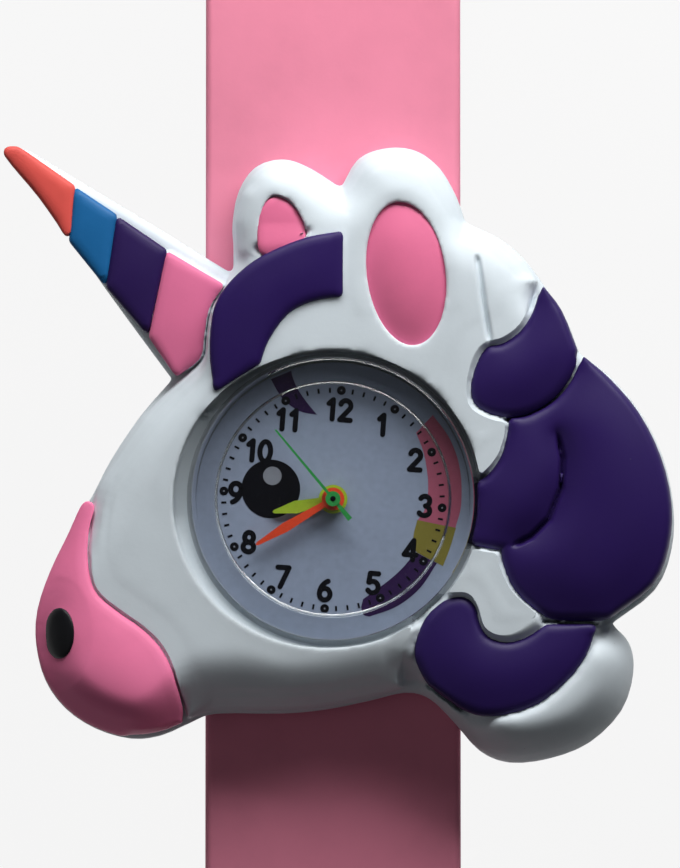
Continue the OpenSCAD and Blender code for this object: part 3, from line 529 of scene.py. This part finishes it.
def settle(o, under, thick, shift):
    """A thin piece lies flush in the bulging face of the one under it.

    A curved face is fitted around the piece and carried on below it. Offsets from the
    piece's centre are in its half sizes.
    """
    proud, below = 0.2, 0.05              # the piece over the face, and the bed under it
    ring = (1.35, 2.6)                    # offsets between which the face is fitted
    filled, fade, reach = 1.3, 0.4, 1.7   # offsets of the bed that is filled up to the face
    deep, under_side, whole, edge = 2.2, -0.6, 1.4, 1.1
    relaxed, smoothed = 1.62, 2.2         # offsets of the bed that is evened out afterwards
    co = points_of(o)
    co[:, 0] += shift * MM
    mid = (co.min(0) + co.max(0)) / 2
    half = (co.max(0) - co.min(0)) / 2

    def offset(q):
        return np.hypot((q[:, 0] - mid[0]) / half[0], (q[:, 1] - mid[1]) / half[1])

    def terms(q):
        x, y = (q[:, 0] - mid[0]) / MM, (q[:, 1] - mid[1]) / MM
        return np.stack([np.ones(len(q)), x, y, x * x, x * y, y * y], 1)

    face = points_of(under)[normals_of(under)[:, 2] > LEVEL]
    face = face[(offset(face) > ring[0]) & (offset(face) < ring[1])]
    fit = np.linalg.lstsq(terms(face), face[:, 2], rcond=None)[0]
    share = (co[:, 2] - co[:, 2].min()) / (co[:, 2].max() - co[:, 2].min())
    co[:, 2] = terms(co) @ fit + ((share - 1) * thick + proud) * MM
    put_points(o, co)
    bed = points_of(under)
    off, level = offset(bed), terms(bed) @ fit
    shallow = (bed[:, 2] > level - deep * MM) & (normals_of(under)[:, 2] > under_side)
    for i in np.where((off < reach) & shallow)[0]:
        if off[i] < whole or rim(bed[i, 0], bed[i, 1]) > edge:
            fill = float(1 - eased((off[i] - filled) / fade))
            bed[i, 2] += (level[i] - below * MM - bed[i, 2]) * fill
    pairs, loose = edge_pairs(under), (off < relaxed) & (bed[:, 2] > level - MM)
    for axis in range(3):
        bed[:, axis] = spread_out(bed[:, axis], pairs, loose, 40)
    put_points(under, bed)
    loose = (off < smoothed) & (normals_of(under)[:, 2] > 0.1)
    bed[:, 2] = spread_out(bed[:, 2], pairs, loose, 24)
    put_points(under, bed)


def pad(node, mat, slot, dome, reach, swell,
        furrow=None, fall=None, outer=-99, by=(0.0, 0.0, 0.0), drop=0.0):
    """A coloured pad: it swells against its neighbours, and its top is puffed.

    It doesn't swell at the head's outer edge, unless it lies left of outer. It is moved by
    an offset, and its lower end is drawn further down, and a little up, by drop.
    """
    crown, skirt, skirt_share = 1.6 * MM, 1.5 * MM, 0.6   # depths of the top, and of the wall's start
    lip, lip_swell = 0.9 * MM, 0.2        # the wall's upper part swells more
    ease, lift = 1.6, 0.45                # how soon the lower end is drawn, and its rise to its draw
    o = remeshed(node, node + "_skin", PAD_VOXEL, mat)
    co, nrm = points_of(o), normals_of(o)
    top = co[:, 2].max()
    free = (nrm[:, 2] > UPWARD) & (co[:, 2] > top - crown)
    wall = co[:, 2] < top - min(skirt, skirt_share * (top - co[:, 2].min()))
    near = nearest(co[(np.abs(nrm[:, 2]) < SIDEWAYS) & wall])
    rise = np.zeros(len(co))
    for i in np.where(free)[0]:
        k = min(1.0, near(co[i, 0], co[i, 1]) / reach)
        rise[i] = dome * MM * (1 - (1 - k) ** 2)
    pairs = edge_pairs(o)
    rise = spread_out(rise, pairs, free, 260)
    out = np.array([MM if rim(x, y) > RIM_MARGIN or x < outer * MM else 0.0 for x, y in co[:, :2]])
    out = spread_out(out, pairs, np.ones(len(co), bool), 12)
    flat = nrm.copy()
    flat[:, 2] = 0
    edge = eased((co[:, 2] - top + lip) / lip)
    co += flat * (out * (swell + lip_swell * edge))[:, None]
    co[:, 2] += rise
    mid_y, low_y = (co[:, 1].min() + co[:, 1].max()) / 2, co[:, 1].min()
    low = eased(ease * (mid_y - co[:, 1]) / (mid_y - low_y)) * drop * MM
    co[:, 1] -= low
    co[:, 2] += lift * low
    put_points(o, co + np.array(by) * MM)
    if furrow:
        carve(o, *furrow)
    if fall:
        round_off(o, *fall)
    return done(o, node)


MOULDED = ("forelock", "mane_top", "mane_main", "mane_lower", "muzzle",
           "left_ear_lining", "right_ear_lining")
FACE_Z = 10.95
FACE_FALL = [(0.6, 5.0, 3.5, 7.6, 11.0), (1.0, 4.0, 2.8, 4.0, 11.0, snout),
             (0.9, 6.3, 4.0, 4.0, 11.0, jaw), (1.0, 5.4, 3.6, 4.0, 11.0, chin)]
LOCK_FALL = (1.7, 4.2, 3.4, 1.8, 10.6, lower_lock)
MANE_FURROW = [(556, 432), (562, 460), (560, 490), (548, 520), (530, 538), (510, 548)]
WHITE_FURROW = [(476, 254), (480, 280), (483, 305), (491, 352)]
HORN = {"outer": 99}                  # the horn's bands swell all round
PADS = (
    ("horn_tip", ORANGE, "orange_silicone", 0.3, 2.0, 0.2, HORN),
    ("horn_upper", BLUE, "blue_silicone", 0.35, 2.2, 0.2, HORN),
    ("horn_lower", HORN_PURPLE, "purple_silicone", 0.4, 2.4, 0.2, HORN),
    ("horn_base", HORN_PINK, "horn_pink_silicone", 0.45, 2.6, 0.2, HORN),
    ("forelock", PURPLE, "purple_silicone", 0.35, 2.6, 0.14, {"by": (0.0, 0.12, 0.0)}),
    ("mane_top", PURPLE, "purple_silicone", 1.0, 3.4, 0.18, {"by": (0.15, -0.15, 0.0)}),
    ("mane_main", PURPLE, "purple_silicone", 1.3, 5.0, 0.2, {"furrow": (MANE_FURROW, 0.24, 0.65)}),
    ("mane_lower", PURPLE, "purple_silicone", 0.8, 3.4, 0.18, {"by": (0.42, -0.05, 0.0)}),
    ("muzzle", MUZZLE, "muzzle_pink_silicone", 1.2, 5.0, 0.3,
     {"fall": FACE_FALL, "outer": -20.0, "by": (0.0, 0.0, 0.3)}),
    ("nostril", BLACK, "black_silicone", 0.9, 1.4, 0.05, {}),
    ("left_ear_lining", EAR_PINK, "ear_pink_silicone", 0.9, 1.6, 0.2,
     {"by": (-0.05, -0.35, 0.8), "drop": 0.9}),
    ("right_ear_lining", EAR_PINK, "ear_pink_silicone", 1.1, 2.6, 0.2, {"by": (0.0, 0.0, 0.8)}))
pads = {row[0]: pad(*row[:-1], **row[-1]) for row in PADS}

puff_lock(head, [pads["mane_lower"], pads["mane_main"]], 2.7, 0.9)
meet(head, [pads[k] for k in MOULDED + ("horn_base",)], len(MOULDED), FACE_Z)
round_off(head, *FACE_FALL, LOCK_FALL)
settle(pads["nostril"], pads["muzzle"], 0.9, 0.25)
widen(head, 1.1, 185)
carve(head, WHITE_FURROW, 0.25, 0.5)
done(head, "head_body")


# ---- band: one sleeve in lengths that meet mid-way between hinges, each spanning one hinge
CORNER = 6                            # steps round each corner of a cross-section
STEP_X, STEP_Y = 1.6, 0.8             # lengths of the faces across and along
hinges = [BAND_MID + i * LINK for i in range(LINKS)]
joins = [0.0] + [h + LINK / 2 for h in hinges]


def profile(half_w, half_t, edge):
    """Rounded rectangle about its centre, anticlockwise in x and z."""
    pts = []
    for cx, cz, a0 in ((1, 1, 0), (-1, 1, 90), (-1, -1, 180), (1, -1, 270)):
        for k in range(CORNER + 1):
            a = math.radians(a0 + 90 * k / CORNER)
            pts.append((cx * (half_w - edge) + edge * math.cos(a),
                        cz * (half_t - edge) + edge * math.sin(a)))
    return pts


def tube(name, ys, widths, half_t, edge, mat, closed):
    """A flat tube along Y at the band's mid height, its half width given at each y."""
    broad = (CORNER, 3 * CORNER + 2)      # the top and the underside, cut into several faces
    across = max(1, int(round(2 * (BAND_W / 2 - edge) / STEP_X)))
    verts = []
    for y, w in zip(ys, widths):
        loop = profile(max(w, edge + 0.01), half_t, edge)
        for k, (a, b) in enumerate(zip(loop, loop[1:] + loop[:1])):
            cuts = across if k in broad else 1
            for c in range(cuts):
                f = c / cuts
                point = (a[0] + (b[0] - a[0]) * f, y, BAND_T / 2 + a[1] + (b[1] - a[1]) * f)
                verts.append(tuple(v * MM for v in point))
    n, last = len(verts) // len(ys), len(ys) - 1
    faces = [(i * n + k, i * n + (k + 1) % n, (i + 1) * n + (k + 1) % n, (i + 1) * n + k)
             for i in range(last) for k in range(n)]
    if closed:
        faces.append(tuple(last * n + k for k in range(n)))
    return outward(new_object(name, verts, faces, mat))


def spread(a, b, step):
    """Even steps from a to b, both included."""
    n = max(2, int(round(abs(b - a) / step)) + 1)
    return [a + (b - a) * i / (n - 1) for i in range(n)]


def end_width(y):
    """Half width of the band near its rounded end."""
    over = abs(y) - (BAND_HALF - BAND_END)
    if over <= 0:
        return BAND_W / 2
    return BAND_W / 2 - BAND_END + math.sqrt(max(0.0, BAND_END ** 2 - over ** 2))


def sleeves(kind, mat, stands_for):
    """The lengths of the band's sleeve, or of the strip inside it."""
    band = kind == "band"
    half_t, edge, tip = ((BAND_T / 2, BAND_EDGE, BAND_HALF - BAND_END) if band
                         else (STRIP_T / 2, STRIP_EDGE, STRIP_HALF))
    for side, s in (("upper", 1), ("lower", -1)):
        for i, h in enumerate(hinges):
            last = i == LINKS - 1
            ys = spread(joins[i], tip if last else joins[i + 1], STEP_Y)
            if band and last:
                ys += [tip + BAND_END * math.sin(math.radians(a)) for a in range(5, 91, 5)]
            name = f"band_{side}_sleeve_{i + 1}" if band else f"strip_{side}_{i + 1}"
            widths = [end_width(y) if band else STRIP_W / 2 for y in ys]
            o = tube(name, [s * y for y in ys], widths, half_t, edge, mat, last)
            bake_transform(o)
            if kind == "band":
                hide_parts(f"band_{side}_{i + 1}")
            if kind == "strip" or i == 0:
                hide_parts(stands_for)


sleeves("band", BAND, "band_middle")
sleeves("strip", SPRING, "spring_strip")


# ---- watch core
def at_core(x, y, z):
    """A point of the core's own frame, in metres of the shared frame."""
    c, s = math.cos(CORE_TURN), math.sin(CORE_TURN)
    return ((x * c - y * s) * MM, (x * s + y * c) * MM, (CORE_Z + z) * MM)


def lathe(name, outline, mat, steps=160):
    """A turned piece from a closed outline of (radius, height), in millimetres."""
    verts, faces, index = [], [], []
    turns = [2 * math.pi * k / steps for k in range(steps)]
    for r, z in outline:
        if r < 1e-6:
            index.append([len(verts)] * steps)
            verts.append(at_core(0, 0, z))
        else:
            index.append(list(range(len(verts), len(verts) + steps)))
            verts += [at_core(r * math.cos(a), r * math.sin(a), z) for a in turns]
    for a, b in zip(index, index[1:] + index[:1]):
        for k in range(steps):
            q = []
            for v in (a[k], a[(k + 1) % steps], b[(k + 1) % steps], b[k]):
                if v not in q:
                    q.append(v)
            if len(q) > 2:
                faces.append(tuple(q))
    return outward(new_object(name, verts, faces, mat))


def rounded(outline, radii, n=5):
    """The outline with its corners rounded by the given radii."""
    out, m = [], len(outline)
    for i, (p, r) in enumerate(zip(outline, radii)):
        if r <= 0:
            out.append(p)
            continue
        a, b, c = np.array(outline[i - 1]), np.array(p), np.array(outline[(i + 1) % m])
        u, v = (a - b) / np.linalg.norm(a - b), (c - b) / np.linalg.norm(c - b)
        half = math.acos(max(-1, min(1, float(u @ v)))) / 2
        d = r / math.tan(half)
        centre = b + (u + v) / np.linalg.norm(u + v) * (r / math.sin(half))
        s, e = b + u * d, b + v * d
        for k in range(n + 1):
            q = s + (e - s) * k / n - centre
            q = centre + q / np.linalg.norm(q) * r
            out.append((float(q[0]), float(q[1])))
    return out


GLASS_IN, GLASS_OUT = 11.4, 13.7
GLASS_LOW, GLASS_INSIDE, GLASS_TOP = 5.27, 7.7, 9.0
WALL_R, WALL_TOP = 13.5, 8.6          # the far wall, which lets less light through
crystal = lathe("crystal_glass", rounded(
    [(GLASS_IN, GLASS_LOW), (GLASS_OUT, GLASS_LOW), (GLASS_OUT, GLASS_TOP),
     (0.0, GLASS_TOP), (0.0, GLASS_INSIDE), (GLASS_IN, GLASS_INSIDE)],
    [0.1, 0.1, 0.45, 0, 0, 0.35]), CLEAR)
crystal.data.materials.append(WALL_CLEAR)
for f in crystal.data.polygons:
    at = f.center / MM
    f.material_index = int(math.hypot(at.x, at.y) > WALL_R and at.y > 0 and at.z < CORE_Z + WALL_TOP)
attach(crystal, "core")
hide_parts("crystal")
nodes["core_case"].visible_shadow = False


# ---- dial print: flat ink just above the dial's face
INK_Z, INK_STEP, INK_STEPS = DIAL_TOP + 0.012, 0.0002, 40
EYE_LIFT, PRINT_LIFT, PIP_LIFT, GLINT_LIFT = 0.004, 0.012, 0.022, 0.03   # over the coloured bands
ink_count = itertools.count(1)


def ink(name, polygons, mat, lift=0.0):
    """Flat closed shapes in the core's own frame, each a step above the one before."""
    verts, faces = [], []
    for pts in polygons:
        z = INK_Z + lift + INK_STEP * (next(ink_count) % INK_STEPS)
        faces.append(tuple(range(len(verts), len(verts) + len(pts))))
        verts += [at_core(x, y, z) for x, y in pts]
    o = new_object(name, verts, faces, mat, smooth=False)
    bm = bmesh.new()
    bm.from_mesh(o.data)
    for f in bm.faces:
        f.normal_update()
        if f.normal.z < 0:
            f.normal_flip()
    bmesh.ops.triangulate(bm, faces=bm.faces)
    bm.to_mesh(o.data)
    bm.free()
    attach(o, "core")


def disc(x, y, r, n=28):
    """A round shape of n corners."""
    turns = [2 * math.pi * k / n for k in range(n)]
    return [(x + r * math.cos(a), y + r * math.sin(a)) for a in turns]


def stroke(path, w):
    """A path drawn with a round pen of width w, as overlapping closed shapes."""
    out = []
    for a, b in zip(path, path[1:]):
        d = math.hypot(b[0] - a[0], b[1] - a[1])
        u = ((b[0] - a[0]) / d, (b[1] - a[1]) / d)
        n = (-u[1] * w / 2, u[0] * w / 2)
        out.append([(a[0] + n[0], a[1] + n[1]), (a[0] - n[0], a[1] - n[1]),
                    (b[0] - n[0], b[1] - n[1]), (b[0] + n[0], b[1] + n[1])])
    return out + [disc(x, y, w / 2, 14) for x, y in path]


def arc(cx, cy, rx, ry, a0, a1, n):
    """Points along an ellipse from the angle a0 to a1, in degrees."""
    turns = [math.radians(a0 + (a1 - a0) * k / n) for k in range(n + 1)]
    return [(cx + rx * math.cos(a), cy + ry * math.sin(a)) for a in turns]


# Each digit fills a box one unit high and DIGIT_W wide.
DIGITS = {
    "0": [arc(0.31, 0.5, 0.23, 0.42, 90, 450, 24)],
    "1": [[(0.14, 0.74), (0.32, 0.92), (0.32, 0.08)]],
    "2": [arc(0.31, 0.69, 0.22, 0.23, 165, -25, 12) + [(0.09, 0.08), (0.55, 0.08)]],
    "3": [arc(0.28, 0.71, 0.21, 0.21, 150, -80, 12), arc(0.28, 0.29, 0.24, 0.21, 80, -150, 12)],
    "4": [[(0.44, 0.08), (0.44, 0.92), (0.06, 0.3), (0.58, 0.3)]],
    "5": [[(0.52, 0.92), (0.16, 0.92), (0.12, 0.53)] + arc(0.3, 0.33, 0.24, 0.25, 125, -145, 14)],
    "6": [arc(0.31, 0.33, 0.23, 0.25, 0, 360, 20), arc(0.62, 0.34, 0.54, 0.6, 180, 112, 10)],
    "7": [[(0.07, 0.92), (0.55, 0.92), (0.22, 0.08)]],
    "8": [arc(0.31, 0.71, 0.19, 0.21, 0, 360, 20), arc(0.31, 0.29, 0.23, 0.21, 0, 360, 20)],
    "9": [arc(0.31, 0.67, 0.23, 0.25, 0, 360, 20), arc(0.0, 0.66, 0.54, 0.6, 0, -68, 10)],
}


def dial_xy(px, py):
    """A pixel of the photograph as a point in the core's own frame."""
    x, y = (px - CORE_PX[0]) * GRID, (CORE_PX[1] - py) * GRID
    c, s = math.cos(-CORE_TURN), math.sin(-CORE_TURN)
    return x * c - y * s, x * s + y * c


NUMBERS = {"12": (340, 410), "1": (384, 425), "2": (416, 460), "3": (426, 506),
           "4": (411, 550), "5": (374, 583), "6": (326, 590), "7": (284, 577),
           "8": (250, 542), "9": (237, 493), "10": (260, 451), "11": (290, 420)}
TALL, PEN = 2.25, 0.5
DIGIT_W, PITCH, PITCH_OF_1 = 0.62, 0.66, 0.56
for word, at in NUMBERS.items():
    cx, cy = dial_xy(*at)
    pitch = PITCH_OF_1 if "1" in word else PITCH
    wide = DIGIT_W + pitch * (len(word) - 1)
    shapes = []
    for i, ch in enumerate(word):
        for path in DIGITS[ch]:
            pts = [(cx + (i * pitch + x - wide / 2) * TALL, cy + (y - 0.5) * TALL) for x, y in path]
            shapes += stroke(pts, PEN)
    ink("number_" + word, shapes, INK, PRINT_LIFT)

DOT_RING, DOT, PIP = 10.62, 0.43, 0.08
TICK = ((10.35, 0.1), (10.85, 0.1), (10.85, -0.1), (10.35, -0.1))   # radius, and offset across
marks = []
for k in range(60):
    a = math.radians(90 - 6 * k)
    c, s = math.cos(a), math.sin(a)
    if k % 5 == 0:
        marks.append(disc(DOT_RING * c, DOT_RING * s, DOT))
    else:
        marks.append([(c * r - s * h, s * r + c * h) for r, h in TICK])
ink("minute_marks", marks, INK, PRINT_LIFT)
pips = [math.radians(30 * k) for k in range(12)]
pips = [disc(DOT_RING * math.cos(a), DOT_RING * math.sin(a), PIP, 12) for a in pips]
ink("minute_dot_pips", pips, PALE_INK, PIP_LIFT)
EYE_PX, EYE_R, GLINT_PX, GLINT_R = (272, 489), 2.85, (273.5, 476), 0.9
ink("eye_disc", [disc(*dial_xy(*EYE_PX), EYE_R, 64)], INK, EYE_LIFT)
ink("eye_glint", [disc(*dial_xy(*GLINT_PX), GLINT_R, 32)], PALE_INK, GLINT_LIFT)


def curve(points, n=8):
    """A smooth line through the points."""
    p = [np.array(q, float) for q in points]
    p = [2 * p[0] - p[1]] + p + [2 * p[-1] - p[-2]]
    out = []
    for i in range(1, len(p) - 2):
        for k in range(n):
            t = k / n
            out.append(0.5 * (2 * p[i] + (p[i + 1] - p[i - 1]) * t
                              + (2 * p[i - 1] - 5 * p[i] + 4 * p[i + 1] - p[i + 2]) * t ** 2
                              + (3 * p[i] - p[i - 1] - 3 * p[i + 1] + p[i + 2]) * t ** 3))
    return [tuple(q) for q in out] + [tuple(p[-2])]


def held_in(pts):
    """Points kept inside the dial's edge."""
    out = []
    for x, y in pts:
        d = math.hypot(x, y)
        out.append((x * DIAL_R / d, y * DIAL_R / d) if d > DIAL_R else (x, y))
    return out


# Each printed shape is closed by smooth lines through pixels of the photograph.
PRINTS = (
    ("printed_lock", PURPLE_INK,
     [(271, 378), (283, 398), (300, 411), (318, 415)],
     [(318, 415), (306, 400), (296, 384), (291, 366)]),
    ("printed_pink_band", PINK_INK,
     [(417, 433), (425, 455), (429, 485), (426, 508), (418, 521)], [(436, 524), (455, 529)],
     [(455, 529), (461, 505), (460, 470), (450, 440), (433, 416)]),
    ("printed_yellow_band", YELLOW_INK,
     [(418, 520), (414, 538), (417, 552)], [(430, 559), (443, 566)],
     [(443, 566), (450, 548), (456, 528)]),
    ("printed_purple_band", PURPLE_INK,
     [(416, 552), (405, 566), (390, 580), (364, 599)], [(362, 607), (364, 614), (370, 616)],
     [(370, 616), (397, 606), (420, 588), (437, 563)]))
for name, mat, *runs in PRINTS:
    pts = [p for run in runs for p in curve([dial_xy(*q) for q in run])]
    ink(name, [held_in(pts)], mat)

# ---- the rest of the core keeps its solids
HANDS = {"hour_hand": LIME, "minute_hand": RED, "second_hand": GREEN}
SOLIDS = {
    "core_case": CASE_CLEAR, "dial": DIAL, "coil": COPPER, "rotor": MAGNET, "circuit_board": BOARD,
    "gasket": RUBBER, "main_plate": BRASS, "cannon_pinion": BRASS, **HANDS,
    **dict.fromkeys(("intermediate_wheel", "seconds_wheel", "third_wheel", "centre_wheel",
                     "minute_wheel", "hour_wheel"), NYLON),
    **dict.fromkeys(("train_bridge", "bridge_screws", "stator", "quartz_can", "button_cell",
                     "battery_clip", "setting_lever", "stem", "crown", "case_back"), STEEL)}
for name, mat in SOLIDS.items():
    o = nodes[name]
    o.data.materials.clear()
    o.data.materials.append(mat)
for name in HANDS:
    b = nodes[name].modifiers.new("edge", "BEVEL")
    b.width, b.segments, b.limit_method = 0.05 * MM, 2, "ANGLE"

# The pin's outline: radius, and height over the hand's top.
PIN = ((0.0, -0.05), (0.26, -0.05), (0.26, 0.04), (0.18, 0.08), (0.0, 0.09))
pin_z = points_of(nodes["second_hand"])[:, 2].max() / MM - CORE_Z
pin = lathe("second_hand_pin", [(r, pin_z + up) for r, up in PIN], INK, 24)
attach(pin, "seconds")

# ---- floor, light and camera
PAPER_GLOW = 0.88                     # share of its own light in the floor that is seen
FLOOR_Z, FLOOR_HALF = -60.0, 1500     # low enough for the curled band
floor_mat, ft, fp = material("floor_paper")
fp.inputs["Roughness"].default_value = 0.9
paper = ramp(ft, noise(ft, 40.0, 4.0), [(0.3, (0.5, 0.5, 0.5)), (0.7, (0.54, 0.54, 0.54))])
link(ft, paper, fp.inputs["Base Color"])
ray = ft.nodes.new("ShaderNodeLightPath").outputs
seen = maths(ft, "MAXIMUM", ray["Is Camera Ray"], ray["Is Transmission Ray"])
seen = maths(ft, "MAXIMUM", seen, ray["Is Glossy Ray"])
glow = ft.nodes.new("ShaderNodeEmission")
glow.inputs["Color"].default_value = (1, 1, 1, 1)
glow.inputs["Strength"].default_value = 1.0
surface_mix(ft, maths(ft, "MULTIPLY", seen, PAPER_GLOW), fp.outputs["BSDF"], glow.outputs["Emission"])
corners = [(x * FLOOR_HALF * MM, y * FLOOR_HALF * MM, FLOOR_Z * MM)
           for x, y in ((-1, -1), (1, -1), (1, 1), (-1, 1))]
floor = new_object("floor", corners, [(0, 1, 2, 3)], floor_mat)

world = bpy.data.worlds.new("studio")
world.use_nodes = True
wt = world.node_tree
wt.nodes["Background"].inputs["Color"].default_value = (0.95, 0.97, 1.0, 1)
wt.nodes["Background"].inputs["Strength"].default_value = 0.06
bpy.context.scene.world = world


def area(name, at, size, power):
    """A rectangular lamp aimed at the origin, in metres and watts."""
    d = bpy.data.lights.new(name, "AREA")
    d.shape = "RECTANGLE"
    d.size, d.size_y = size
    d.energy = power
    o = bpy.data.objects.new(name, d)
    bpy.context.scene.collection.objects.link(o)
    o.location = at
    o.rotation_mode = "QUATERNION"
    o.rotation_quaternion = (-Vector(at)).to_track_quat("-Z", "Y")


area("key", (0.045, 0.195, 0.112), (0.3, 0.1), 0.82)
area("fill", (-0.45, -0.1, 0.5), (0.5, 0.5), 0.15)

AIM = Vector((0.68 * MM, 6.42 * MM, 8.0 * MM))
FAR, TILT = 0.8, math.radians(2.7)    # metres from the aim, and lean from straight down
SENSOR = 36.0
cam_data = bpy.data.cameras.new("camera")
cam = bpy.data.objects.new("camera", cam_data)
bpy.context.scene.collection.objects.link(cam)
cam.location = AIM + Vector((0, -math.sin(TILT), math.cos(TILT))) * FAR
cam.rotation_mode = "QUATERNION"
cam.rotation_quaternion = (AIM - cam.location).to_track_quat("-Z", "Y")
cam_data.sensor_width = SENSOR
cam_data.lens = SENSOR * FAR / (PHOTO_H * GRID * MM)
cam_data.clip_start, cam_data.clip_end = 0.01, 10.0
bpy.context.scene.camera = cam
bpy.context.scene.view_settings.view_transform = "Standard"
